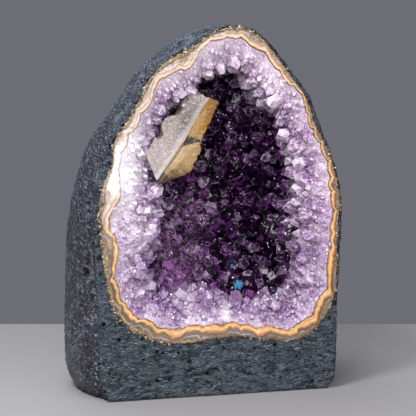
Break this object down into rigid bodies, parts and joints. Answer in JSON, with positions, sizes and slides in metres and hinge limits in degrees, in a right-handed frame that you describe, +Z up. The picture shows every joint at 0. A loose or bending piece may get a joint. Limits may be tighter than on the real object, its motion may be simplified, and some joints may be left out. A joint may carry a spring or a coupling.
{
  "type": "amethyst druse",
  "caption": "Upright half geode cut flat across its front: dark cement coat, banded agate rim, hollow lined with amethyst points, and a honey calcite blade.",
  "frame": {"origin": "on the ground, under the middle of the bounding box", "axes": "+Z up, -Y out of the open cut face towards the viewer, +X to the right seen from the front"},
  "size_m": [0.1976, 0.1232, 0.2533],
  "materials": {
    "cement_coat": "dark slate-grey brushed cement, rough with a faint sheen",
    "agate": "sawn and half-polished banded agate with a crumbly beige rind",
    "amethyst": "glassy quartz, milky lavender at the rim and deep violet in the hollow",
    "calcite": "translucent honey calcite with a pale sugary face"
  },
  "bodies": {
    "root": {"cement_casing": "cement_coat", "agate_rim": "agate", "amethyst_crust": "amethyst", "calcite_cluster": "calcite"}
  },
  "joints": []
}
